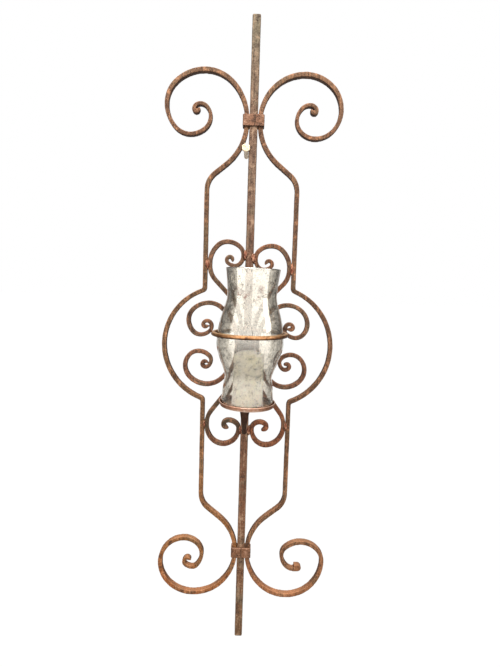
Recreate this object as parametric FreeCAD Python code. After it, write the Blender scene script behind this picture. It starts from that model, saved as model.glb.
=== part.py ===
import FreeCAD
import Part
import math
import os

# Torch sconce: a forged wall grille that carries one pillar candle in a hurricane glass.
# Millimetres. +X is to the right, +Y goes into the wall, +Z is up. While the pieces are
# drawn, the origin is the middle of the centre bar; each piece is then moved so that the
# origin is the middle of the upper collar's back, where the sconce lies against the wall.

# Stock
CENTRE_BAR = 16.0          # square centre bar
CENTRE_LENGTH = 1250.0
BAR_WIDTH = 9.0            # flat bar of the frame and scrolls, seen from the front
BAR_DEPTH = 12.5           # the same bar, from front to back
EYE_WIDTH = 7.0            # bar width where it is drawn out and rolled into an eye
EYE_TAPER = 110.0          # length of bar that is drawn out towards an eye
UPPER_TAPER = 330.0        # the upper volutes are drawn out over most of their length
EYE_HOLE_R = 1.0           # hole in the middle of a tightly rolled eye
EDGE_CHAMFER = 1.2         # worn corners of the centre bar
TOUCH = 4.0                # straight length where two bars are welded side by side

# Collars that tie the centre bar and both frame bars
COLLAR_THICK = 3.0
COLLAR_HEIGHT = 22.0
COLLAR_INSET = 190.0       # from each end of the centre bar to a collar's middle
COLLAR_CORNER = 2.8
COLLAR_EDGE = 1.0
COLLAR_CLEAR = 0.3         # beside the frame bars, which already part inside the collar
COLLAR_SEAM = 1.4          # gap where the strip's two ends meet in front
UPPER_SEAM_X = 2.5
LOWER_SEAM_X = 0.5
GRIP = 4.0                 # height over which the frame bars lie against the centre bar

# Frame bars: collar, shoulder, upright, jog, round side, and the same again below
UPRIGHT_X = {"left": 86.7, "right": 88.3}           # centre of the uprights
SHOULDER_ANGLE = 51.0      # slope of the shoulders from upright
UPPER_SHOULDER_R = {"left": 102.0, "right": 99.0}   # bend as the bar leaves the collar
LOWER_SHOULDER_R = {"left": 93.0, "right": 97.0}
SHOULDER_IN_R = 40.0       # bend into the upright
ROUND_REACH = {"left": 166.1, "right": 167.4}       # widest point of the round sides
ROUND_R = {"left": 116.0, "right": 120.0}
ROUND_Z = 2.0              # height of the round sides' centre
JOG_R = 7.0

# Volutes above and below the collars. Each list has the points where the bar runs level
# or upright in turn, from the collar to the eye: distance from the axis, then height from
# the collar's middle. They were bent by hand, so the left and right ones differ a little.
UPPER_VOLUTE = {
    "left": [(93, 91), (166, 28), (121, -27), (82, 6), (102, 29.5), (114.3, 18.8)],
    "right": [(97, 87), (166.5, 23), (118, -29), (82.5, 3), (107, 32), (119.7, 21.5)],
}
LOWER_VOLUTE = {
    "left": [(101, -95), (170, -28), (119, 26), (82.5, -7), (102, -38), (119.7, -26), (112.3, -17.5)],
    "right": [(97, -95), (171, -17), (126, 24), (86, -5), (112.5, -36)],
}
UPPER_EYE_TURN = 205.0     # how far the last bend inside an eye turns
LOWER_EYE_TURN = 95.0
FOLD_RUN = 8.5             # the lower right volute's tip is folded back on itself instead
FOLD_GAP = 0.5

# Heart scrolls: one bar on each side, its back against the centre bar, with a lobe above
# and a lobe below that touch the centre bar and the upright
SCROLL_Z = 4.0             # height where the scrolls' backs meet
UPPER_HEART_ANGLE = 44.0   # slope of the straight runs from upright
LOWER_HEART_ANGLE = 37.0
HEART_BACK_R = 120.0       # bend that leaves the centre bar
HEART_LOBE_R = 42.0        # bend that meets the upright
LOBE_TOP_X = 43.5
UPPER_LOBE_Z = {"left": 163.0, "right": 157.0}      # height where the lobe meets the upright
LOWER_LOBE_Z = {"left": -161.0, "right": -161.0}
UPPER_LOBE_RISE = 44.5     # from there to the lobe's far end
LOWER_LOBE_DROP = 41.0
UPPER_SIDE_DROP = 24.0     # from the far end back to where the lobe runs beside the centre bar
LOWER_SIDE_RISE = 31.0
LOWER_SIDE_GAP = {"left": 0.0, "right": 2.5}        # between the lobe and the centre bar
# Coils inside the lobes: distance from the axis, and height from the lobe's far end
UPPER_COIL = [(29, -46.5), (45, -36), (38, -29)]
LOWER_COIL = {"left": [(33, 50), (43.5, 41.5)], "right": [(31, 48), (45, 39)]}
UPPER_COIL_TURN = {"left": 145.0, "right": 120.0}
LOWER_COIL_TURN = 125.0
WELD_HEIGHT = 12.0         # bead that fills the gap between a lobe and the centre bar

# Ear scrolls: one bar on each side, with its back against the back of the heart scroll.
# Points as for the volutes.
UPPER_EAR = {
    "left": [(77, 86.5), (118, 52), (94, 22.5), (71.5, 40), (81, 50.5), (89, 43)],
    "right": [(79, 86), (119.5, 48), (97, 21), (74.5, 37), (83.5, 48.5), (91.5, 41.5)],
}
LOWER_EAR = {
    "left": [(80, -78), (123.5, -40), (97, -11), (71.5, -29), (82, -43), (89.5, -36)],
    "right": [(78, -80), (117.5, -44), (89, -13.5), (66.5, -29), (78.5, -44.5), (87, -37)],
}
EAR_EYE_TURN = 165.0

# Lamp: plate, glass and candle stand on one axis in front of the grille
LAMP_X = 3.8               # the plate sits a little to the right of the centre bar
LAMP_LEAN = 1.0            # degrees, and leans to the right
PLATE_FLOOR_Z = -97.0      # top of the plate's floor
PLATE_CLEAR = 0.8          # from the foot of the glass to the plate's side
PLATE_FLARE = 2.6          # slope of the plate's side
PLATE_DEPTH = 5.5
PLATE_THICK = 1.6
RIM_ROLL = 1.1             # radius of the rolled rim

# Arm: round bar, a quarter circle from the centre bar out and up to the plate
ARM_END_R = 4.6
ARM_HEAD_R = 11.0          # flared head under the plate
ARM_FLARE = 40.0           # degrees of the quarter circle that are flared
ARM_STATIONS = [-4, 4, 12, 20, 28, 34, 40, 56, 73, 90]
RIVET_R = 2.5
RIVET_HEAD_R = 4.5
RIVET_LENGTH = 14.0

# Outer profile of the glass, radius then height above the plate's floor
GLASS_PROFILE = [(49.0, 0), (47.2, 26), (44.6, 47), (44.6, 57), (53, 81), (61.2, 107), (61.4, 123),
                 (56.8, 157), (46.5, 193), (45.6, 210), (47.2, 231), (49.8, 250.5)]
GLASS_WALL = 3.0
RING_BAR = 8.0
RING_CLEAR = 1.6           # between the ring and the widest part of the glass
RING_Z = 35.0
RING_SHIFT = 1.0           # the ring's centre lies this far to the left of the lamp's axis
RING_WELD_WIDTH = 14.0
RING_WELD_HEIGHT = 6.0

CANDLE_R = 28.0
CANDLE_SHOULDER = 94.0     # height of the candle's side
CANDLE_DOME = 7.0
CANDLE_EDGE = 5.0
CANDLE_FOOT_CHAMFER = 1.5
WICK_R = 1.1
WICK_SHOWN = 5.0
WICK_SUNK = 12.0

# Lag screw in the crotch under the upper collar, beside the centre bar
SHANK_R = 4.75
THREAD_R = 4.45
THREAD_LENGTH = 40.0
POINT_LENGTH = 8.0
POINT_R = 0.6
HEAD_FLATS = 14.3
HEAD_HEIGHT = 6.0
HEAD_CHAMFER = 1.0
SCREW_CLEAR = 0.3          # beside the centre bar
SCREW_DROP = 4.0           # below the place where the shank would wedge between the bars

# Places that follow from the sizes above
V = FreeCAD.Vector
SIDES = ("left", "right")
SIDE_X = CENTRE_BAR / 2 + BAR_WIDTH / 2          # bar that lies against the centre bar
EAR_BACK_X = SIDE_X + BAR_WIDTH                  # bar that lies against a heart scroll
EYE_R = EYE_WIDTH / 2 + EYE_HOLE_R               # last bend inside an eye
COLLAR_UP = CENTRE_LENGTH / 2 - COLLAR_INSET
COLLAR_DOWN = -COLLAR_UP
FRONT_Y = -CENTRE_BAR / 2
WALL_Y = CENTRE_BAR / 2 + COLLAR_THICK
RING_R = max(radius for radius, height in GLASS_PROFILE) + RING_CLEAR + RING_BAR / 2
LAMP_Y = FRONT_Y - RING_BAR / 2 - RING_R         # the ring's back touches the centre bar
PLATE_FLOOR_R = GLASS_PROFILE[0][0] + PLATE_CLEAR
PLATE_R = PLATE_FLOOR_R + PLATE_FLARE
LEAN_POINT = V(LAMP_X, LAMP_Y, PLATE_FLOOR_Z)


def unit(degrees):
    return math.cos(math.radians(degrees)), math.sin(math.radians(degrees))


def sign(side):
    return -1 if side == "left" else 1


class Bend:
    """Centreline of a bar in the plane of the grille, as straight runs and tangent arcs.

    A run is a list of stations, each with x, z and the heading in degrees, where 0 points
    away from the axis and 90 points up. A straight run has two stations and an arc three.
    """

    def __init__(self, x, z, heading):
        self.at = (x, z, heading)
        self.runs = []

    def line(self, length):
        x, z, heading = self.at
        cos, sin = unit(heading)
        end = (x + cos * length, z + sin * length, heading)
        self.runs.append([self.at, end])
        self.at = end
        return self

    def arc(self, radius, turn):
        """Bend by turn degrees, anticlockwise if it is positive."""
        x, z, heading = self.at
        side = 90 if turn > 0 else -90
        cos, sin = unit(heading + side)
        centre_x = x + cos * radius
        centre_z = z + sin * radius
        stations = [self.at]
        for share in (0.5, 1.0):
            turned_to = heading + turn * share
            cos, sin = unit(turned_to + side)
            stations.append((centre_x - cos * radius, centre_z - sin * radius, turned_to))
        self.runs.append(stations)
        self.at = stations[-1]
        return self

    def quarter(self, x, z):
        """Bend a quarter turn to (x, z) in two arcs of one eighth each."""
        start_x, start_z, heading = self.at
        cos, sin = unit(heading)
        along = (x - start_x) * cos + (z - start_z) * sin
        aside = (z - start_z) * cos - (x - start_x) * sin
        turn = 45 if aside > 0 else -45
        half = math.sqrt(0.5)
        first = (1 + half) * along - half * abs(aside)
        second = (1 + half) * abs(aside) - half * along
        self.arc(first, turn)
        return self.arc(second, turn)

    def quarters(self, points):
        for x, z in points:
            self.quarter(x, z)
        return self

    def reversed(self):
        back = Bend(*self.at)
        for run in reversed(self.runs):
            back.runs.append([(x, z, heading + 180) for x, z, heading in reversed(run)])
        back.at = back.runs[-1][-1]
        return back

    def then(self, other):
        self.runs += other.runs
        self.at = other.at
        return self


def run_length(run):
    chord = math.dist(run[0][:2], run[-1][:2])
    if len(run) == 2:
        return chord
    turn = math.radians(abs(run[2][2] - run[0][2]))
    return chord * turn / (2 * math.sin(turn / 2))


def edge(points):
    if len(points) == 2:
        return Part.LineSegment(points[0], points[1]).toShape()
    return Part.Arc(points[0], points[1], points[2]).toShape()


def forged_bar(bend, side, start_taper=0.0, end_taper=0.0):
    """Flat bar along a bend. A taper is a length over which the bar thins to EYE_WIDTH."""
    total = sum(run_length(run) for run in bend.runs)

    def half_width(travelled):
        near = max(0.0, 1 - travelled / start_taper) if start_taper else 0.0
        far = max(0.0, 1 - (total - travelled) / end_taper) if end_taper else 0.0
        return (BAR_WIDTH - (BAR_WIDTH - EYE_WIDTH) * max(near, far)) / 2

    left_side = []
    right_side = []
    travelled = 0.0
    for run in bend.runs:
        length = run_length(run)
        left_points = []
        right_points = []
        for index, (x, z, heading) in enumerate(run):
            half = half_width(travelled + length * index / (len(run) - 1))
            cos, sin = unit(heading + 90)
            left_points.append(V(sign(side) * (x + cos * half), -BAR_DEPTH / 2, z + sin * half))
            right_points.append(V(sign(side) * (x - cos * half), -BAR_DEPTH / 2, z - sin * half))
        left_side.append(left_points)
        right_side.append(right_points)
        travelled += length
    start_cap = edge([right_side[0][0], left_side[0][0]])
    end_cap = edge([left_side[-1][-1], right_side[-1][-1]])
    lefts = [edge(points) for points in left_side]
    rights = [edge(points) for points in reversed(right_side)]
    outline = Part.Wire(Part.__sortEdges__([start_cap] + lefts + [end_cap] + rights))
    return Part.Face(outline).extrude(V(0, BAR_DEPTH, 0))


def shoulder_run(side, out_r):
    """Length of the straight slope between a shoulder's two bends."""
    cos, sin = unit(SHOULDER_ANGLE)
    across = UPRIGHT_X[side] - SIDE_X - (out_r + SHOULDER_IN_R) * (1 - cos)
    return across / sin


def shoulder_height(side, out_r):
    cos, sin = unit(SHOULDER_ANGLE)
    return (out_r + SHOULDER_IN_R) * sin + shoulder_run(side, out_r) * cos


def frame_bend(side):
    """From the eye of the upper volute down to the tip of the lower one."""
    upper_r = UPPER_SHOULDER_R[side]
    lower_r = LOWER_SHOULDER_R[side]
    round_r = ROUND_R[side]
    jog_x = UPRIGHT_X[side] + JOG_R - (ROUND_REACH[side] - round_r)
    jog_rise = math.sqrt((round_r + JOG_R) ** 2 - jog_x ** 2)
    jog_turn = math.degrees(math.atan2(jog_rise, jog_x))
    upper_run = COLLAR_UP - GRIP / 2 - shoulder_height(side, upper_r) - (ROUND_Z + jog_rise)
    lower_run = (ROUND_Z - jog_rise) - (COLLAR_DOWN + GRIP / 2 + shoulder_height(side, lower_r))

    upper = Bend(SIDE_X, COLLAR_UP + GRIP / 2, 90)
    upper.quarters([(x, COLLAR_UP + z) for x, z in UPPER_VOLUTE[side]]).arc(EYE_R, -UPPER_EYE_TURN)
    bend = upper.reversed().line(GRIP)
    bend.arc(upper_r, SHOULDER_ANGLE).line(shoulder_run(side, upper_r))
    bend.arc(SHOULDER_IN_R, -SHOULDER_ANGLE).line(upper_run)
    bend.arc(JOG_R, jog_turn).arc(round_r, -jog_turn).arc(round_r, -jog_turn).arc(JOG_R, jog_turn)
    bend.line(lower_run).arc(SHOULDER_IN_R, -SHOULDER_ANGLE)
    bend.line(shoulder_run(side, lower_r)).arc(lower_r, SHOULDER_ANGLE)
    bend.line(GRIP).quarters([(x, COLLAR_DOWN + z) for x, z in LOWER_VOLUTE[side]])
    if side == "left":
        return bend.arc(EYE_R, LOWER_EYE_TURN)
    return bend.line(FOLD_RUN).arc((EYE_WIDTH + FOLD_GAP) / 2, 180).line(FOLD_RUN)


def frame_bar(side):
    return forged_bar(frame_bend(side), side, UPPER_TAPER, EYE_TAPER)


def heart_half(side, up):
    """One half of a heart scroll, from the middle of its back to its eye."""
    way = 1 if up else -1
    angle = UPPER_HEART_ANGLE if up else LOWER_HEART_ANGLE
    lobe_z = UPPER_LOBE_Z[side] if up else LOWER_LOBE_Z[side]
    cos, sin = unit(angle)
    across = UPRIGHT_X[side] - BAR_WIDTH - SIDE_X
    run = (across - (HEART_BACK_R + HEART_LOBE_R) * (1 - cos)) / sin
    rise = (HEART_BACK_R + HEART_LOBE_R) * sin + run * cos
    back = abs(lobe_z - SCROLL_Z) - TOUCH / 2 - rise
    bend = Bend(SIDE_X, SCROLL_Z, 90 * way).line(back)
    bend.arc(HEART_BACK_R, -angle * way).line(run).arc(HEART_LOBE_R, angle * way).line(TOUCH)
    if up:
        end_z = lobe_z + UPPER_LOBE_RISE
        bend.quarter(LOBE_TOP_X, end_z).quarter(SIDE_X, end_z - UPPER_SIDE_DROP).line(TOUCH)
        bend.quarters([(x, end_z + z) for x, z in UPPER_COIL])
        return bend.arc(EYE_R, UPPER_COIL_TURN[side])
    end_z = lobe_z - LOWER_LOBE_DROP
    bend.quarter(LOBE_TOP_X, end_z)
    bend.quarter(SIDE_X + LOWER_SIDE_GAP[side], end_z + LOWER_SIDE_RISE).line(TOUCH)
    bend.quarters([(x, end_z + z) for x, z in LOWER_COIL[side]])
    return bend.arc(BAR_WIDTH / 2 + EYE_HOLE_R, -LOWER_COIL_TURN)


def heart_scroll(side):
    bend = heart_half(side, True).reversed().then(heart_half(side, False))
    bar = forged_bar(bend, side, EYE_TAPER)
    gap = LOWER_SIDE_GAP[side]
    if gap > 0:
        foot_z = LOWER_LOBE_Z[side] - LOWER_LOBE_DROP + LOWER_SIDE_RISE + TOUCH / 2 - WELD_HEIGHT / 2
        length = gap + BAR_WIDTH / 2
        corner_x = CENTRE_BAR / 2 if side == "right" else -CENTRE_BAR / 2 - length
        bead = Part.makeBox(length, BAR_DEPTH, WELD_HEIGHT, V(corner_x, -BAR_DEPTH / 2, foot_z))
        bar = bar.fuse(bead).removeSplitter()
    return bar


def ear_scroll(side):
    """C-scroll whose two ends are rolled into eyes."""
    upper = Bend(EAR_BACK_X, SCROLL_Z, 90).line(TOUCH / 2)
    upper.quarters(UPPER_EAR[side]).arc(EYE_R, -EAR_EYE_TURN)
    lower = Bend(EAR_BACK_X, SCROLL_Z, -90).line(TOUCH / 2)
    lower.quarters(LOWER_EAR[side]).arc(EYE_R, EAR_EYE_TURN)
    return forged_bar(upper.reversed().then(lower), side, EYE_TAPER, EYE_TAPER)


def centre_bar():
    half = CENTRE_BAR / 2
    bar = Part.makeBox(CENTRE_BAR, CENTRE_BAR, CENTRE_LENGTH, V(-half, -half, -CENTRE_LENGTH / 2))
    return bar.makeChamfer(EDGE_CHAMFER, bar.Edges)


def upright_edges(shape):
    return [e for e in shape.Edges if abs(e.tangentAt(e.FirstParameter).z) > 0.9]


def collar(middle_z, seam_x):
    """Strip bent round the three bars, with its ends meeting in front."""
    foot_z = middle_z - COLLAR_HEIGHT / 2
    inner_x = COLLAR_CLEAR + bars_reach(middle_z)
    inner_y = CENTRE_BAR / 2
    outer_x = inner_x + COLLAR_THICK
    outer_y = inner_y + COLLAR_THICK
    outer = Part.makeBox(2 * outer_x, 2 * outer_y, COLLAR_HEIGHT, V(-outer_x, -outer_y, foot_z))
    outer = outer.makeFillet(COLLAR_CORNER, upright_edges(outer))
    front = [f for f in outer.Faces if f.CenterOfMass.y < -outer_y + 0.01][0]
    level = [e for e in front.Edges if abs(e.tangentAt(e.FirstParameter).z) < 0.1]
    outer = outer.makeChamfer(COLLAR_EDGE, level)
    inner = Part.makeBox(2 * inner_x, 2 * inner_y, COLLAR_HEIGHT, V(-inner_x, -inner_y, foot_z))
    seam_corner = V(seam_x - COLLAR_SEAM / 2, -outer_y, foot_z)
    seam = Part.makeBox(COLLAR_SEAM, COLLAR_THICK, COLLAR_HEIGHT, seam_corner)
    return outer.cut(inner).cut(seam)


def bars_reach(middle_z):
    """Farthest that the frame bars reach from the axis within a collar's height."""
    half_x = 2 * EAR_BACK_X
    corner = V(-half_x, -BAR_DEPTH / 2, middle_z - COLLAR_HEIGHT / 2)
    band = Part.makeBox(2 * half_x, BAR_DEPTH, COLLAR_HEIGHT, corner)
    boxes = [frame_bar(side).common(band).BoundBox for side in SIDES]
    return max(max(-box.XMin, box.XMax) for box in boxes)


def lean(shape):
    """Lean a lamp piece to the right about the middle of the plate's floor."""
    shape.rotate(LEAN_POINT, V(0, 1, 0), LAMP_LEAN)
    return shape


def turned(edges, axis_x=LAMP_X):
    """Solid turned from a profile drawn at height above the plate's floor."""
    solid = Part.Face(Part.Wire(edges)).revolve(V(0, 0, 0), V(0, 0, 1), 360)
    solid.translate(V(axis_x, LAMP_Y, PLATE_FLOOR_Z))
    return solid


def polyline(points):
    corners = [V(radius, 0, height) for radius, height in points]
    return [edge([start, end]) for start, end in zip(corners, corners[1:])]


def candle_plate():
    """Shallow dish with a rolled rim."""
    inside_r = PLATE_FLOOR_R - PLATE_THICK / 3
    profile = [(0, -PLATE_THICK), (PLATE_FLOOR_R, -PLATE_THICK), (PLATE_R, PLATE_DEPTH),
               (PLATE_R - PLATE_THICK, PLATE_DEPTH), (inside_r, 0), (0, 0), (0, -PLATE_THICK)]
    dish = turned(polyline(profile))
    rim_centre = V(LAMP_X, LAMP_Y, PLATE_FLOOR_Z + PLATE_DEPTH)
    roll = Part.makeTorus(PLATE_R - PLATE_THICK / 2, RIM_ROLL, rim_centre)
    return lean(dish.fuse(roll).removeSplitter()).cut(plate_rivet())


def plate_rivet():
    """Countersunk rivet, flush with the plate's floor so that the candle stands level."""
    profile = [(0, 0), (RIVET_HEAD_R, 0), (RIVET_R, -PLATE_THICK), (RIVET_R, -RIVET_LENGTH),
               (0, -RIVET_LENGTH), (0, 0)]
    return lean(turned(polyline(profile), 0))


def arm_radius(angle):
    if angle >= ARM_FLARE:
        return ARM_END_R
    return ARM_END_R + (ARM_HEAD_R - ARM_END_R) * (1 - angle / ARM_FLARE) ** 1.2


def plate_arm():
    """Quarter circle from the centre bar out and up to the plate, flared under the plate."""
    top_z = PLATE_FLOOR_Z - PLATE_THICK
    sections = []
    for angle in ARM_STATIONS:
        section = Part.Wire(Part.makeCircle(arm_radius(angle), V(0, LAMP_Y, top_z)))
        section.rotate(V(0, FRONT_Y, top_z), V(1, 0, 0), angle)
        sections.append(section)
    arm = Part.makeLoft(sections, True)
    size = 4 * ARM_HEAD_R
    above = Part.makeBox(size, size, size, V(-size / 2, LAMP_Y - size / 2, top_z))
    return arm.cut(lean(above)).cut(plate_rivet())


def profile_curve(points):
    curve = Part.BSplineCurve()
    curve.interpolate([V(radius, 0, height) for radius, height in points])
    return curve


def hurricane_glass():
    """Blown chimney with a waist at the foot, a belly, a neck and a flared rim."""
    outer = profile_curve(GLASS_PROFILE)
    inside = []
    for radius, height in GLASS_PROFILE:
        along = outer.tangent(outer.parameter(V(radius, 0, height)))[0]
        inside.append((radius - GLASS_WALL * along.z, height + GLASS_WALL * along.x))
    inside[0] = (GLASS_PROFILE[0][0] - GLASS_WALL, GLASS_PROFILE[0][1])
    inside[-1] = (GLASS_PROFILE[-1][0] - GLASS_WALL, GLASS_PROFILE[-1][1])
    inner = profile_curve(inside)
    foot = polyline([inside[0], GLASS_PROFILE[0]])
    rim = polyline([inside[-1], GLASS_PROFILE[-1]])
    return lean(turned(Part.__sortEdges__(foot + [outer.toShape()] + rim + [inner.toShape()])))


def is_shoulder(wax_edge):
    box = wax_edge.BoundBox
    level = PLATE_FLOOR_Z + CANDLE_SHOULDER
    return box.XLength > CANDLE_R and abs(box.ZMin - level) < 0.01 and abs(box.ZMax - level) < 0.01


def candle():
    """Pillar of wax with a domed top, a soft shoulder and a hole for the wick."""
    top = CANDLE_SHOULDER + CANDLE_DOME
    sphere = (CANDLE_R ** 2 + CANDLE_DOME ** 2) / (2 * CANDLE_DOME)
    half_turn = math.asin(CANDLE_R / sphere) / 2
    middle = V(sphere * math.sin(half_turn), 0, top - sphere * (1 - math.cos(half_turn)))
    dome = edge([V(CANDLE_R, 0, CANDLE_SHOULDER), middle, V(0, 0, top)])
    foot = CANDLE_FOOT_CHAMFER
    sides = [(0, top), (0, 0), (CANDLE_R - foot, 0), (CANDLE_R, foot), (CANDLE_R, CANDLE_SHOULDER)]
    wax = turned(polyline(sides) + [dome])
    wax = wax.makeFillet(CANDLE_EDGE, [e for e in wax.Edges if is_shoulder(e)])
    return lean(wax).cut(wick())


def wick():
    top = PLATE_FLOOR_Z + CANDLE_SHOULDER + CANDLE_DOME
    return lean(Part.makeCylinder(WICK_R, WICK_SUNK + WICK_SHOWN, V(LAMP_X, LAMP_Y, top - WICK_SUNK)))


def glass_ring():
    """Hoop that steadies the glass, welded to the front of the centre bar."""
    axis_x = LAMP_X + (RING_Z - PLATE_FLOOR_Z) * math.tan(math.radians(LAMP_LEAN))
    hoop = Part.makeTorus(RING_R, RING_BAR / 2, V(axis_x - RING_SHIFT, LAMP_Y, RING_Z))
    corner = V(-RING_WELD_WIDTH / 2, FRONT_Y - RING_BAR / 2, RING_Z - RING_WELD_HEIGHT / 2)
    weld = Part.makeBox(RING_WELD_WIDTH, RING_BAR / 2, RING_WELD_HEIGHT, corner)
    return hoop.fuse(weld).removeSplitter()


def wall_screw():
    """Hex lag screw beside the centre bar, in the crotch under the upper collar."""
    x = -(CENTRE_BAR / 2 + SHANK_R + SCREW_CLEAR)
    shoulder_r = UPPER_SHOULDER_R["left"]
    reach = shoulder_r + BAR_WIDTH / 2 + SHANK_R
    z = COLLAR_UP - GRIP / 2 - math.sqrt(reach ** 2 - (SIDE_X + shoulder_r + x) ** 2) - SCREW_DROP
    corner_r = HEAD_FLATS / math.sqrt(3)
    head_y = FRONT_Y - HEAD_HEIGHT
    corners = []
    for step in range(7):
        cos, sin = unit(90 + 60 * step)
        corners.append(V(x + corner_r * cos, head_y, z + corner_r * sin))
    hexagon = Part.Face(Part.makePolygon(corners)).extrude(V(0, HEAD_HEIGHT, 0))
    flat_r = HEAD_FLATS / 2 - HEAD_CHAMFER
    cone = Part.makeCone(flat_r, flat_r + 2 * HEAD_HEIGHT, HEAD_HEIGHT, V(x, head_y, z), V(0, 1, 0))
    shank = Part.makeCylinder(SHANK_R, WALL_Y - FRONT_Y, V(x, FRONT_Y, z), V(0, 1, 0))
    thread = Part.makeCylinder(THREAD_R, THREAD_LENGTH, V(x, WALL_Y, z), V(0, 1, 0))
    point = Part.makeCone(THREAD_R, POINT_R, POINT_LENGTH, V(x, WALL_Y + THREAD_LENGTH, z), V(0, 1, 0))
    return hexagon.common(cone).fuse([shank, thread, point]).removeSplitter()


PIECES = {
    "centre_bar": centre_bar,
    "left_frame_bar": lambda: frame_bar("left"),
    "right_frame_bar": lambda: frame_bar("right"),
    "upper_collar": lambda: collar(COLLAR_UP, UPPER_SEAM_X),
    "lower_collar": lambda: collar(COLLAR_DOWN, LOWER_SEAM_X),
    "left_heart_scroll": lambda: heart_scroll("left"),
    "right_heart_scroll": lambda: heart_scroll("right"),
    "left_ear_scroll": lambda: ear_scroll("left"),
    "right_ear_scroll": lambda: ear_scroll("right"),
    "glass_ring": glass_ring,
    "candle_plate": candle_plate,
    "plate_arm": plate_arm,
    "plate_rivet": plate_rivet,
    "hurricane_glass": hurricane_glass,
    "candle": candle,
    "wick": wick,
    "wall_screw": wall_screw,
}

os.makedirs("parts", exist_ok=True)
for name, make in PIECES.items():
    shape = make().Solids[0]
    shape.translate(V(0, -WALL_Y, -COLLAR_UP))
    shape.exportStep("parts/" + name + ".step")
    box = shape.BoundBox
    print(f"{name:20s} {shape.isValid()} {shape.Volume:9.0f} x {box.XMin:7.1f} {box.XMax:7.1f} "
          f"y {box.YMin:7.1f} {box.YMax:7.1f} z {box.ZMin:8.1f} {box.ZMax:8.1f}")
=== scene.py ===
import math

import bmesh
import bpy
from mathutils import Matrix, Vector, noise


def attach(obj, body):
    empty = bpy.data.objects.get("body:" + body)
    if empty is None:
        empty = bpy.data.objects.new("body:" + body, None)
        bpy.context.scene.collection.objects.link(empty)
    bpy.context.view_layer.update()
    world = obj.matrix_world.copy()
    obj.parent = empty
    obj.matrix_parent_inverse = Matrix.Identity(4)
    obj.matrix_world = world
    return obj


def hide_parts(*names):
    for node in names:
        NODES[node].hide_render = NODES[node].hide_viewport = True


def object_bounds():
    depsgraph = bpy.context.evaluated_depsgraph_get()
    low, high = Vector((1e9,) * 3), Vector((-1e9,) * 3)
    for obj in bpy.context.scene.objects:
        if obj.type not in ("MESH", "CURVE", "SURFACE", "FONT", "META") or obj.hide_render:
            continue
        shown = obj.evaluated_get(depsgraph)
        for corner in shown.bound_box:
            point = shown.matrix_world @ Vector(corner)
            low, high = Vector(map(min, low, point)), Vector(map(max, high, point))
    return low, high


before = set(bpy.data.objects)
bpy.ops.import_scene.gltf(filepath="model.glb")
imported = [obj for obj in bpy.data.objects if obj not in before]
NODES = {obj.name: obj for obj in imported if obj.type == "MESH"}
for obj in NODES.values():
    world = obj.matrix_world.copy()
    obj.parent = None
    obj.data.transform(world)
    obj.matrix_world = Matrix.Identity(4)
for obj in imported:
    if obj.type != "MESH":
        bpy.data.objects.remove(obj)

cad_box = [list(corner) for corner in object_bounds()]
MM = 0.001
BOTTOM = cad_box[0][2]
LENGTH = cad_box[1][2] - BOTTOM


def link(name, data):
    obj = bpy.data.objects.new(name, data)
    bpy.context.scene.collection.objects.link(obj)
    return obj


# ---------------------------------------------------------------- camera

CAMERA_PLACE = (0.005476, -0.9204, -0.31069)   # metres
CAMERA_PITCH, CAMERA_ROLL = 0.1063, 0.0308     # radians: nose down, right side up
SENSOR_WIDTH, LENS = 36.0, 24.566              # mm


def make_camera():
    """Level with the upper third of the sconce, looking down a little, with a slight roll."""
    side = Vector((1, 0, 0))
    up = Vector((0, math.sin(CAMERA_PITCH), math.cos(CAMERA_PITCH)))
    ahead = Vector((0, math.cos(CAMERA_PITCH), -math.sin(CAMERA_PITCH)))
    right = math.cos(CAMERA_ROLL) * side + math.sin(CAMERA_ROLL) * up
    above = math.cos(CAMERA_ROLL) * up - math.sin(CAMERA_ROLL) * side
    data = bpy.data.cameras.new("camera")
    data.sensor_width = SENSOR_WIDTH
    data.lens = LENS
    camera = link("camera", data)
    turn = Matrix((right, above, -ahead)).transposed()
    camera.matrix_world = Matrix.Translation(CAMERA_PLACE) @ turn.to_4x4()
    bpy.context.scene.camera = camera


# ---------------------------------------------------------------- node helpers

WHITE = (1.0, 1.0, 1.0, 1.0)


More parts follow.
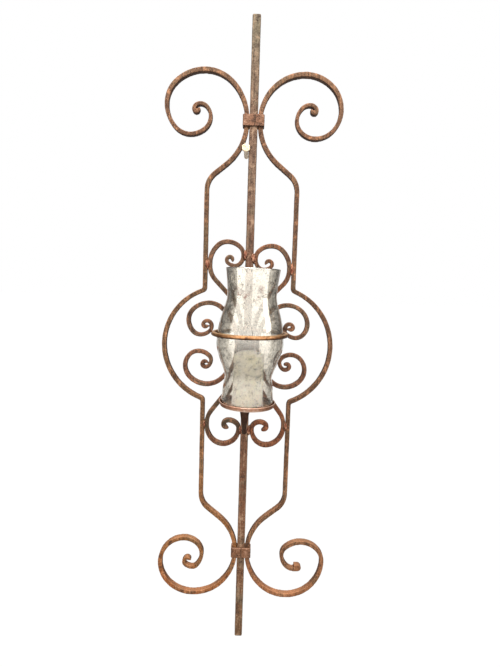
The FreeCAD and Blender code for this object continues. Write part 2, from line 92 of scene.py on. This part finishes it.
class Tree:
    """A short way to write a node tree."""

    def __init__(self, tree):
        self.tree = tree
        tree.nodes.clear()

    def node(self, kind, inputs=None, **settings):
        made = self.tree.nodes.new(kind)
        for name, value in settings.items():
            setattr(made, name, value)
        for name, value in (inputs or {}).items():
            self.put(made.inputs[name], value)
        return made

    def put(self, socket, value):
        if isinstance(value, bpy.types.NodeSocket):
            self.tree.links.new(value, socket)
        else:
            socket.default_value = value

    def math(self, operation, a, b=0.0, clamp=False):
        made = self.node("ShaderNodeMath", operation=operation, use_clamp=clamp)
        self.put(made.inputs[0], a)
        self.put(made.inputs[1], b)
        return made.outputs[0]

    def plus(self, a, b):
        return self.math("ADD", a, b)

    def times(self, a, b):
        return self.math("MULTIPLY", a, b)

    def vector(self, operation, a, b):
        made = self.node("ShaderNodeVectorMath", operation=operation)
        self.put(made.inputs[0], a)
        self.put(made.inputs[1], b)
        return made.outputs[0]

    def split(self, vector):
        return self.node("ShaderNodeSeparateXYZ", {"Vector": vector}).outputs

    def place(self):
        return self.node("ShaderNodeTexCoord").outputs["Object"]

    def cloud(self, place, scale, detail=4.0, rough=0.55, stretch=None):
        """Noise from 0 to 1."""
        if stretch:
            place = self.vector("MULTIPLY", place, stretch)
        made = self.node("ShaderNodeTexNoise", {"Vector": place, "Scale": scale, "Detail": detail,
                                                "Roughness": rough})
        return made.outputs["Fac"]

    def ramp(self, value, low, high, to_low=0.0, to_high=1.0):
        made = self.node("ShaderNodeMapRange", {"Value": value, "From Min": low, "From Max": high,
                                                "To Min": to_low, "To Max": to_high},
                         interpolation_type="SMOOTHSTEP")
        return made.outputs["Result"]

    def band(self, value, rise, fall):
        """One between two soft edges, each given as the values where it is nought and one."""
        return self.times(self.ramp(value, *rise), self.ramp(value, *fall))

    def blend(self, amount, a, b):
        """A number between two others."""
        made = self.node("ShaderNodeMix", data_type="FLOAT")
        for index, value in ((0, amount), (2, a), (3, b)):
            self.put(made.inputs[index], value)
        return made.outputs[0]

    def mix(self, amount, a, b):
        """A colour between two others."""
        made = self.node("ShaderNodeMix", data_type="RGBA")
        self.put(made.inputs[0], amount)
        for index, value in ((6, a), (7, b)):
            self.put(made.inputs[index], rgb(value) if isinstance(value, tuple) else value)
        return made.outputs[2]

    def stain(self, base, colour, value, low, high, amount):
        """Lays a colour over the base, more and more as the value runs from low to high."""
        return self.mix(self.ramp(value, low, high, 0.0, amount), base, colour)

    def colours(self, value, stops):
        made = self.node("ShaderNodeValToRGB", {"Fac": value})
        line = made.color_ramp
        line.elements[0].position, line.elements[0].color = stops[0][0], rgb(stops[0][1])
        line.elements[1].position, line.elements[1].color = stops[-1][0], rgb(stops[-1][1])
        for place, colour in stops[1:-1]:
            line.elements.new(place).color = rgb(colour)
        return made.outputs["Color"]

    def bump(self, height, strength, distance):
        made = self.node("ShaderNodeBump", {"Height": height, "Strength": strength,
                                            "Distance": distance})
        return made.outputs["Normal"]

    def surface(self, inputs):
        shader = self.node("ShaderNodeBsdfPrincipled", inputs)
        self.node("ShaderNodeOutputMaterial", {"Surface": shader.outputs[0]})


def linear(value):
    value /= 255.0
    return value / 12.92 if value <= 0.04045 else ((value + 0.055) / 1.055) ** 2.4


def rgb(colour):
    """A screen colour, 0 to 255, as a shader colour."""
    return tuple(linear(c) for c in colour) + (1.0,)


def material(name):
    made = bpy.data.materials.new(name)
    made.use_nodes = True
    return made, Tree(made.node_tree)


def dress(obj, made):
    """One material over the whole piece."""
    obj.data.materials.clear()
    obj.data.materials.append(made)


# ---------------------------------------------------------------- materials

def iron(name, heights, patch=(104, 98, 78), patch_amount=0.5, light=(196, 148, 116),
         dark=(52, 32, 22), streak=0.4, metal=0.15, rough=(0.5, 0.8), seed=0.0, shade=0.75):
    """Old forged iron: rust that changes along the bar, scale, streaks, pits and worn edges, with painted
    shade below and on the flanks and a painted highlight on top.
    """
    made, t = material(name)
    spot = t.place()
    place = t.vector("ADD", spot, (seed, seed * 0.7, seed * 1.3))
    geometry = t.node("ShaderNodeNewGeometry")
    normal = t.split(geometry.outputs["Normal"])
    edge = geometry.outputs["Pointiness"]
    drift = t.math("SUBTRACT", t.cloud(place, 9.0, 3.0), 0.5)
    height = t.plus(t.split(spot)["Z"], t.times(drift, 0.16))
    share = t.math("DIVIDE", t.math("SUBTRACT", height, BOTTOM), LENGTH, clamp=True)
    base = t.colours(share, [((z - BOTTOM) / LENGTH, colour) for z, colour in heights])
    # grey-olive mill scale left in patches
    base = t.stain(base, patch, t.cloud(place, 26.0, 6.0, 0.62), 0.5, 0.62, patch_amount)
    # rust in blooms and in pits
    bloom = t.cloud(place, 75.0, 5.0, 0.6)
    base = t.stain(base, light, bloom, 0.52, 0.72, 0.6)
    base = t.stain(base, dark, bloom, 0.48, 0.34, 0.75)
    fine = t.cloud(place, 420.0, 4.0, 0.6)
    base = t.stain(base, light, fine, 0.56, 0.72, 0.45)
    base = t.stain(base, dark, fine, 0.47, 0.34, 0.7)
    relief = t.plus(t.times(fine, 0.5), t.times(bloom, 1.3))
    # streaks that run down
    if streak:
        lines = t.cloud(place, 1.0, 5.0, 0.6, (330.0, 330.0, 14.0))
        base = t.stain(base, dark, lines, 0.48, 0.34, streak)
        base = t.stain(base, light, lines, 0.52, 0.68, streak * 0.8)
        relief = t.plus(relief, t.times(lines, 0.35))
    # edges worn light, hollows dark
    base = t.stain(base, light, edge, 0.515, 0.56, 0.35)
    base = t.stain(base, dark, edge, 0.49, 0.44, 0.6)
    # painted shade below and on the flanks, painted highlight above
    base = t.stain(base, dark, normal["Z"], -0.05, -0.8, shade)
    base = t.stain(base, dark, t.math("ABSOLUTE", normal["X"]), 0.35, 0.9, 0.6)
    base = t.stain(base, light, normal["Z"], 0.35, 0.9, 0.3)
    t.surface({"Base Color": base, "Metallic": metal, "Specular IOR Level": 0.3,
               "Roughness": t.ramp(fine, 0.3, 0.7, rough[1], rough[0]),
               "Normal": t.bump(relief, 0.55, 0.0011)})
    return made


def steel(name):
    """Zinc-plated hexagon head: cream bloom on the faces, dark in the corners."""
    made, t = material(name)
    place = t.place()
    edge = t.node("ShaderNodeNewGeometry").outputs["Pointiness"]
    bloom = t.cloud(place, 260.0, 5.0, 0.6)
    base = t.colours(bloom, [(0.3, (120, 98, 76)), (0.48, (214, 190, 158)), (0.75, (248, 232, 206))])
    base = t.stain(base, (58, 40, 30), edge, 0.49, 0.42, 0.7)
    drawn_lines = t.cloud(place, 1.0, 3.0, 0.5, (60.0, 60.0, 2600.0))
    t.surface({"Base Color": base, "Metallic": 0.75,
               "Roughness": t.ramp(bloom, 0.3, 0.7, 0.5, 0.3),
               "Normal": t.bump(t.plus(bloom, drawn_lines), 0.3, 0.0004)})
    return made


def wax(name):
    """Pale candle wax that light enters a little."""
    made, t = material(name)
    place = t.place()
    soft = t.cloud(place, 45.0, 3.0)
    t.surface({"Base Color": t.colours(soft, [(0.3, (250, 244, 226)), (0.7, (255, 253, 246))]),
               "Subsurface Weight": 0.25, "Subsurface Radius": (0.012, 0.009, 0.006),
               "Subsurface Scale": 1.0, "Specular IOR Level": 0.4,
               "Roughness": t.ramp(soft, 0.3, 0.7, 0.35, 0.5),
               "Normal": t.bump(t.cloud(place, 160.0, 4.0), 0.12, 0.0006)})
    return made


def wick_cotton(name):
    """Charred cotton with a twist."""
    made, t = material(name)
    twist = t.cloud(t.place(), 1.0, 3.0, 0.6, (1500.0, 1500.0, 700.0))
    t.surface({"Base Color": t.colours(twist, [(0.35, (24, 20, 18)), (0.65, (88, 74, 62))]),
               "Roughness": 0.95, "Normal": t.bump(twist, 0.7, 0.0004)})
    return made


def old_glass(name, outside):
    """Blown glass gone grey with age. Its outside carries a worn, mottled silver bloom, with a
    painted reflection of dark lines in the belly and at the lip and brown blotches at the neck; its inside
    is clear."""
    made, t = material(name)
    place = t.place()
    seeds = t.cloud(place, 520.0, 4.0, 0.65)
    tone = t.plus(t.times(t.cloud(place, 120.0, 6.0, 0.7), 0.6), t.times(seeds, 0.4))
    drawn = t.cloud(place, 1.0, 3.0, 0.5, (60.0, 60.0, 16.0))
    inputs = {"Transmission Weight": 1.0, "IOR": 1.45,
              "Normal": t.bump(t.plus(t.times(seeds, 0.12), drawn), 0.07, 0.0008)}
    if outside:
        inputs.update(silver_bloom(t, place, tone))
    else:
        inputs["Base Color"] = t.colours(tone, [(0.38, (214, 210, 204)), (0.55, (252, 250, 247))])
        inputs["Roughness"] = t.ramp(tone, 0.35, 0.6, 0.05, 0.01)
    t.surface(inputs)
    return made


def silver_bloom(t, place, tone):
    """What the outside of the glass carries. Heights are in metres from the upper collar."""
    height = t.split(place)["Z"]
    glancing = t.ramp(t.node("ShaderNodeLayerWeight", {"Blend": 0.5}).outputs["Facing"], 0.2, 0.5)
    # painted reflection: dark lines, the contours of a slow noise, in the belly and at the lip
    slow = t.cloud(place, 1.0, 1.0, 0.4, (46.0, 46.0, 17.0))
    contour = t.math("SUBTRACT", t.math("FRACT", t.times(slow, 11.0)), 0.5)
    painted_reflection = t.ramp(t.math("ABSOLUTE", contour), 0.05, 0.012)
    belly = t.band(height, (-0.41, -0.395), (-0.325, -0.335))
    lip = t.ramp(height, -0.318, -0.305)
    some = t.ramp(t.cloud(place, 21.0, 2.0), 0.44, 0.52)
    painted_reflection = t.times(painted_reflection, t.times(t.math("MAXIMUM", belly, lip), some))
    # brown blotches at the neck
    neck = t.band(height, (-0.347, -0.331), (-0.306, -0.322))
    brown_blotch = t.times(neck, t.ramp(t.cloud(place, 60.0, 4.0), 0.5, 0.62))
    base = t.colours(tone, [(0.36, (120, 114, 104)), (0.43, (206, 200, 188)), (0.5, (253, 247, 234))])
    # lay the brown blotches and the painted reflection's dark lines over the tone
    base = t.mix(t.times(brown_blotch, 0.85), base, (104, 62, 44))
    base = t.mix(t.times(painted_reflection, 0.9), base, (30, 26, 24))
    # the bloom is thicker above the candle and towards the sides
    amount = t.plus(t.times(glancing, 0.5), t.ramp(height, -0.425, -0.395, 0.1, 0.42))
    bloom = t.times(t.ramp(tone, 0.42, 0.56, 1.0, 0.6), amount)
    marks = t.times(t.math("MAXIMUM", brown_blotch, painted_reflection), 0.8)
    return {"Base Color": base, "Metallic": t.math("MAXIMUM", bloom, marks),
            "Roughness": t.ramp(tone, 0.35, 0.6, 0.1, 0.02)}


# ---------------------------------------------------------------- shapes

HAMMER_SIZE, GRIT_SIZE = 0.016, 0.0045   # metres
INWARD = 0.62   # share of each dent's depth that lies below the bar's own surface


def clouds(name, size, depth):
    made = bpy.data.textures.new(name, "CLOUDS")
    made.noise_scale = size
    made.noise_depth = depth
    return made


def forge(node, voxel=1.2, rounds=4, dents=0.55, grit=0.3):
    """Rounds the edges of a bar and gives its faces the dents of the hammer and the grit of rust.
    Sizes are in mm."""
    obj = NODES[node]
    remesh = obj.modifiers.new("even", "REMESH")
    remesh.mode = "VOXEL"
    remesh.voxel_size = voxel * MM
    remesh.use_smooth_shade = True
    smooth = obj.modifiers.new("rounded", "SMOOTH")
    smooth.factor = 0.5
    smooth.iterations = rounds
    for label, texture, strength in (("dents", HAMMER, dents), ("grit", GRIT, grit)):
        push = obj.modifiers.new(label, "DISPLACE")
        push.texture = texture
        push.texture_coords = "LOCAL"
        push.strength = strength * MM
        push.mid_level = INWARD
    return obj


def to_object(name, bm, move):
    """Turns a mesh that is being built into a smooth object in its place."""
    bm.transform(move)
    mesh = bpy.data.meshes.new(name)
    bm.to_mesh(mesh)
    bm.free()
    mesh.polygons.foreach_set("use_smooth", [True] * len(mesh.polygons))
    return link(name, mesh)


def spline(points, steps):
    """A smooth run through the points."""
    out = []
    padded = [points[0]] + list(points) + [points[-1]]
    for a, b, c, d in zip(padded, padded[1:], padded[2:], padded[3:]):
        for i in range(steps):
            u = i / steps
            out.append(tuple(0.5 * (2 * b[k] + (c[k] - a[k]) * u
                                    + (2 * a[k] - 5 * b[k] + 4 * c[k] - d[k]) * u * u
                                    + (3 * b[k] - a[k] - 3 * c[k] + d[k]) * u ** 3)
                             for k in range(2)))
    out.append(tuple(points[-1]))
    return out


def walled(outer, wall, lip_rise):
    """The closed profile of a wall, from its outer line: up the outside and down the inside."""
    inner = []
    last = len(outer) - 1
    for i, (radius, height) in enumerate(outer):
        a, b = outer[max(i - 1, 0)], outer[min(i + 1, last)]
        run = math.hypot(b[0] - a[0], b[1] - a[1])
        rise = wall * (b[0] - a[0]) / run if 0 < i < last else 0.0
        inner.append((radius - wall * (b[1] - a[1]) / run, height + rise))
    rim = ((outer[-1][0] + inner[-1][0]) / 2, outer[-1][1] + lip_rise)
    foot = ((outer[0][0] + inner[0][0]) / 2, outer[0][1])
    return outer + [rim] + inner[::-1] + [foot]


def lathe(name, profile, inside_from, turns, centre, lean, wobble):
    """Turns a closed profile of (radius, height) in mm about an upright axis that leans to +X.
    Its rows from inside_from on take the second material."""
    bm = bmesh.new()
    rows = []
    for radius, height in profile:
        row = []
        for i in range(turns):
            angle = 2 * math.pi * i / turns
            spot = Vector((math.cos(angle), math.sin(angle), height / 60.0))
            r = (radius + wobble * (noise.noise(spot * 1.7) - 1.0)) * MM
            row.append(bm.verts.new((r * math.cos(angle), r * math.sin(angle), height * MM)))
        rows.append(row)
    for low, row in enumerate(rows):
        above = rows[(low + 1) % len(rows)]
        for i in range(turns):
            j = (i + 1) % turns
            face = bm.faces.new((row[i], row[j], above[j], above[i]))
            face.material_index = 1 if low >= inside_from else 0
    bmesh.ops.recalc_face_normals(bm, faces=bm.faces)
    return to_object(name, bm, Matrix.Translation(Vector(centre) * MM)
                     @ Matrix.Rotation(math.radians(lean), 4, "Y"))


def weld_bead(name, centre, size, made, seed):
    """A small uneven mass of weld. Centre and half sizes are in mm."""
    bm = bmesh.new()
    bmesh.ops.create_icosphere(bm, subdivisions=4, radius=1.0)
    shift = Vector((seed * 3.1, seed * 1.7, seed * 2.3))
    for vertex in bm.verts:
        way = vertex.co.normalized()
        swell = 0.28 * noise.noise(way * 1.6 + shift) + 0.126 * noise.noise(way * 4.3 + shift)
        way = way * (1.0 + swell)
        vertex.co = Vector([w * half for w, half in zip(way, size)]) * MM
    bead = to_object(name, bm, Matrix.Translation(Vector(centre) * MM))
    dress(bead, made)
    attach(bead, "sconce")


# ---------------------------------------------------------------- the iron

make_camera()
HAMMER = clouds("hammer_dents", HAMMER_SIZE, 2)
GRIT = clouds("rust_grit", GRIT_SIZE, 3)

# rust colours by height, in metres from the upper collar
TONES = {
    "bar": [(-1.06, (106, 76, 49)), (-0.85, (110, 70, 45)), (-0.6, (117, 78, 56)), (-0.3, (113, 76, 58)),
            (-0.1, (118, 92, 74)), (0.0, (109, 81, 63)), (0.1, (124, 104, 85)), (0.19, (117, 109, 89))],
    "left_frame": [(-0.97, (147, 87, 45)), (-0.86, (135, 88, 45)), (-0.6, (110, 79, 50)),
                   (-0.25, (97, 72, 49)), (0.0, (106, 73, 51)), (0.1, (112, 84, 62))],
    "right_frame": [(-0.97, (151, 97, 61)), (-0.86, (109, 74, 47)), (-0.6, (86, 60, 40)),
                    (-0.25, (94, 67, 48)), (0.0, (106, 75, 55)), (0.1, (129, 97, 72))],
    "left_heart": [(-0.65, (118, 65, 40)), (-0.6, (68, 55, 38)), (-0.5, (80, 65, 44)),
                   (-0.24, (105, 76, 56)), (-0.2, (112, 83, 62))],
    "right_heart": [(-0.65, (128, 79, 51)), (-0.6, (116, 65, 39)), (-0.5, (104, 65, 42)),
                    (-0.24, (99, 70, 51)), (-0.2, (108, 77, 57))],
    "ear": [(-0.52, (112, 73, 53)), (-0.34, (101, 78, 59))],
    "collar": [(-0.9, (120, 80, 54)), (-0.8, (120, 80, 54)), (-0.1, (138, 97, 73)), (0.1, (141, 100, 76))],
    # the arm's tones are dark: its rust colour with painted shade from the plate above it
    "arm": [(-0.62, (79, 44, 20)), (-0.52, (72, 40, 17))],
    "ring": [(-0.41, (168, 112, 70)), (-0.39, (176, 122, 78))],
    "plate": [(-0.54, (190, 138, 108)), (-0.526, (202, 146, 118))],
    "weld": [(-0.62, (118, 62, 40)), (-0.2, (132, 72, 50))],
}
bar = iron("bar_iron", TONES["bar"], patch=(112, 102, 82), streak=0.55, light=(190, 158, 130),
           dark=(52, 34, 24), seed=1.3)
left_frame = iron("left_frame_iron", TONES["left_frame"], light=(214, 154, 112), patch=(98, 86, 62),
                  seed=2.9)
right_frame = iron("right_frame_iron", TONES["right_frame"], light=(216, 154, 112),
                   patch=(98, 84, 62), seed=4.1)
left_heart = iron("left_heart_iron", TONES["left_heart"], light=(190, 130, 94), seed=5.7)
right_heart = iron("right_heart_iron", TONES["right_heart"], light=(196, 128, 88),
                   patch_amount=0.35, seed=7.9)
ear = iron("ear_iron", TONES["ear"], light=(196, 132, 96), seed=9.2)
collar = iron("collar_iron", TONES["collar"], light=(210, 166, 140), streak=0.0,
              patch=(132, 98, 76), patch_amount=0.4, seed=3.3)
ring = iron("ring_iron", TONES["ring"], light=(240, 200, 150), metal=0.6, rough=(0.3, 0.5),
            streak=0.0, patch=(124, 78, 44), seed=6.1, shade=0.85)
plate = iron("plate_iron", TONES["plate"], light=(250, 232, 214), dark=(110, 68, 48), metal=0.45,
             rough=(0.3, 0.5), streak=0.0, patch=(190, 126, 96), seed=8.3, shade=0.3)
# the arm's colours are dark: its rust with painted shade from the plate above it
arm = iron("arm_iron", TONES["arm"], light=(132, 84, 56), seed=0.6)
weld = iron("weld_iron", TONES["weld"], light=(226, 174, 140), dark=(48, 24, 16), streak=0.0,
            patch_amount=0.2, metal=0.4, rough=(0.35, 0.6), seed=2.2)

for node, made in (("centre_bar", bar), ("left_frame_bar", left_frame),
                   ("right_frame_bar", right_frame), ("left_heart_scroll", left_heart),
                   ("right_heart_scroll", right_heart), ("left_ear_scroll", ear),
                   ("right_ear_scroll", ear)):
    dress(forge(node), made)
for node in ("upper_collar", "lower_collar"):
    dress(forge(node, voxel=0.5, rounds=3, dents=0.5), collar)
dress(forge("glass_ring", voxel=0.8, rounds=3, dents=0.35, grit=0.2), ring)
dress(forge("plate_arm", voxel=1.0, rounds=3), arm)
for node, made in (("candle_plate", plate), ("plate_rivet", plate),
                   ("wall_screw", steel("screw_steel")), ("candle", wax("wax")),
                   ("wick", wick_cotton("wick_cotton"))):
    dress(NODES[node], made)

# weld where bar meets bar, and behind the ring: places and half sizes in mm
LEFT_SIDE, RIGHT_SIDE = -82.5, 84.0
MIDDLE = 8.5
BEADS = [("weld_left_upper", (LEFT_SIDE, -14, -272), (4.6, 6.0, 11.0)),
         ("weld_right_upper", (RIGHT_SIDE, -14, -278), (4.6, 6.0, 11.5)),
         ("weld_left_lower", (LEFT_SIDE, -14, -596), (4.2, 5.0, 9.0)),
         ("weld_right_lower", (RIGHT_SIDE, -14, -596), (4.2, 5.0, 9.0)),
         ("weld_heart_top_left", (-MIDDLE, -17, -253.5), (4.5, 5.0, 10.0)),
         ("weld_heart_top_right", (MIDDLE, -17, -259.5), (5.5, 5.5, 10.0)),
         ("weld_heart_foot_left", (-MIDDLE, -16, -606), (4.0, 4.5, 9.0)),
         ("weld_heart_foot_right", (MIDDLE, -16, -606), (4.0, 4.5, 9.0)),
         ("weld_ring_back", (0, -20.5, -401), (15.0, 6.5, 9.5))]
for index, (name, centre, size) in enumerate(BEADS):
    weld_bead(name, centre, size, weld, 1.0 + index * 1.9)


# ---------------------------------------------------------------- the glass

# radius and height above its foot, up the outside, in mm
OUTLINE = [(49.0, 0.0), (47.2, 26), (44.6, 47), (44.6, 57), (53, 81), (61.2, 107), (61.4, 123),
           (56.8, 157), (46.5, 193), (45.6, 210), (47.2, 231), (49.8, 250.5)]
GLASS_FOOT = (3.8, -90.0, -532.0)
GLASS_LEAN = 1.0      # degrees
WALL = 3.0
LIP_RISE = 0.6
OUT_OF_ROUND = 0.25
TURNS = 160

outer = spline(OUTLINE, 6)
shade_glass = lathe("blown_glass", walled(outer, WALL, LIP_RISE), len(outer) + 1, TURNS,
                    GLASS_FOOT, GLASS_LEAN, OUT_OF_ROUND)
shade_glass.data.materials.append(old_glass("glass_outside", True))
shade_glass.data.materials.append(old_glass("glass_inside", False))
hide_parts("hurricane_glass")
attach(shade_glass, "glass")


# ---------------------------------------------------------------- floor and light

FLOOR_SIZE, FLOOR_LEVEL = 60.0, -1.35
LAMP_AIM = (0.0, 0.0, -0.4)
LAMP_TINT = (1.0, 0.97, 0.92)


def make_floor():
    """Pale paper. The camera sees it as white, and nothing shiny reflects it."""
    bpy.ops.mesh.primitive_plane_add(size=FLOOR_SIZE, location=(0, 0, FLOOR_LEVEL))
    floor = bpy.context.object
    floor.name = "floor"
    made, t = material("floor_paper")
    grain = t.cloud(t.place(), 90.0, 3.0)
    paper = t.node("ShaderNodeBsdfDiffuse", {"Color": t.mix(grain, (176, 174, 170), (186, 184, 180))})
    shine = t.node("ShaderNodeEmission", {"Color": WHITE, "Strength": 1.1})
    path = t.node("ShaderNodeLightPath").outputs
    seen = t.math("MAXIMUM", path["Is Camera Ray"], path["Is Transmission Ray"])
    both = t.node("ShaderNodeMixShader")
    t.put(both.inputs[0], t.times(seen, 0.85))
    t.put(both.inputs[1], paper.outputs[0])
    t.put(both.inputs[2], shine.outputs[0])
    t.node("ShaderNodeOutputMaterial", {"Surface": both.outputs[0]})
    dress(floor, made)
    floor.visible_glossy = False


def make_world():
    """A white studio: bright overhead and in front, dim at the sides. A mirror sees a broad
    white screen in front, dark wings beside it and the white wall behind."""
    world = bpy.data.worlds.new("studio")
    bpy.context.scene.world = world
    world.use_nodes = True
    t = Tree(world.node_tree)
    way = t.split(t.node("ShaderNodeTexCoord").outputs["Generated"])
    path = t.node("ShaderNodeLightPath").outputs
    over = t.ramp(way["Z"], 0.05, 0.95, 0.0, 1.35)
    front = t.ramp(way["Y"], -0.25, -1.0, 0.0, 0.6)
    soft = t.plus(t.plus(over, front), 0.1)
    flat = t.math("SQRT", t.plus(t.math("POWER", way["X"], 2.0), t.math("POWER", way["Y"], 2.0)))
    turn = t.math("DIVIDE", way["Y"], t.math("MAXIMUM", flat, 0.001))
    screen = t.ramp(turn, -0.2, -0.34, 0.12, 2.1)
    wall = t.ramp(turn, 0.78, 0.9, 0.0, 0.6)
    mirror = t.times(t.plus(screen, wall), t.ramp(way["Z"], -0.75, -0.35, 0.25, 1.0))
    level = t.blend(path["Is Glossy Ray"], soft, mirror)
    clear = t.math("MAXIMUM", path["Is Camera Ray"], path["Is Transmission Ray"])
    sky = t.node("ShaderNodeBackground", {"Color": WHITE, "Strength": t.blend(clear, level, 1.0)})
    t.node("ShaderNodeOutputWorld", {"Surface": sky.outputs[0]})


def soft_box(name, place, size, energy):
    data = bpy.data.lights.new(name, "AREA")
    data.shape = "RECTANGLE"
    data.size, data.size_y = size
    data.energy = energy
    data.color = LAMP_TINT
    lamp = link(name, data)
    lamp.location = place
    lamp.rotation_euler = (Vector(LAMP_AIM) - Vector(place)).to_track_quat("-Z", "Y").to_euler()


make_floor()
make_world()
soft_box("key_light", (-0.7, -1.7, 1.5), (1.6, 1.2), 46.0)
soft_box("side_light", (1.9, -0.9, 0.6), (0.9, 1.6), 12.0)
bpy.context.scene.view_settings.view_transform = "Standard"
